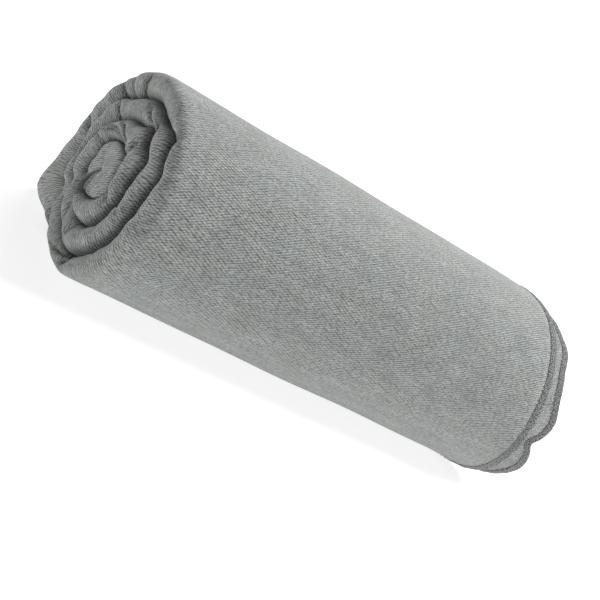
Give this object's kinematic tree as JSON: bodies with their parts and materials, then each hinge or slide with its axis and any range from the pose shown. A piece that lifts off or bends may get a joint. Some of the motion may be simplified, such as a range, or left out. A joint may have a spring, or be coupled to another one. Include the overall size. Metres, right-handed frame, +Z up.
{
  "type": "rolled throw blanket",
  "caption": "Heather grey knit throw blanket, folded lengthwise and rolled up, with sewn hems and a free outer end that lifts as a flap.",
  "frame": {"origin": "on the floor, under the middle of the roll", "axes": "+X along the roll, from its folded end to its hemmed end; +Z up; the loose outer end is on the +Y side"},
  "size_m": [0.381, 0.1404, 0.1295],
  "materials": {
    "knit": "matte heather knit",
    "hem": "matte heather knit, turned and sewn",
    "thread": "matte sewing thread"
  },
  "bodies": {
    "roll": {"outer_turn": "knit", "middle_turn": "knit", "inner_turn": "knit", "core_turn": "knit", "leading_hem": "hem", "leading_thread": "thread", "outer_side_hem": "hem", "outer_side_thread": "thread", "inner_side_hem": "hem", "inner_side_thread": "thread"},
    "flap": {"flap": "knit", "trailing_hem": "hem", "trailing_thread": "thread", "flap_outer_side_hem": "hem", "flap_outer_side_thread": "thread", "flap_inner_side_hem": "hem", "flap_inner_side_thread": "thread"}
  },
  "joints": [
    {"name": "flap_lift", "type": "hinge", "parent": "roll", "child": "flap", "pos_m": [0, 0.03923, 0.1165], "axis": [1, 0, 0], "range_deg": [0, 70]}
  ]
}
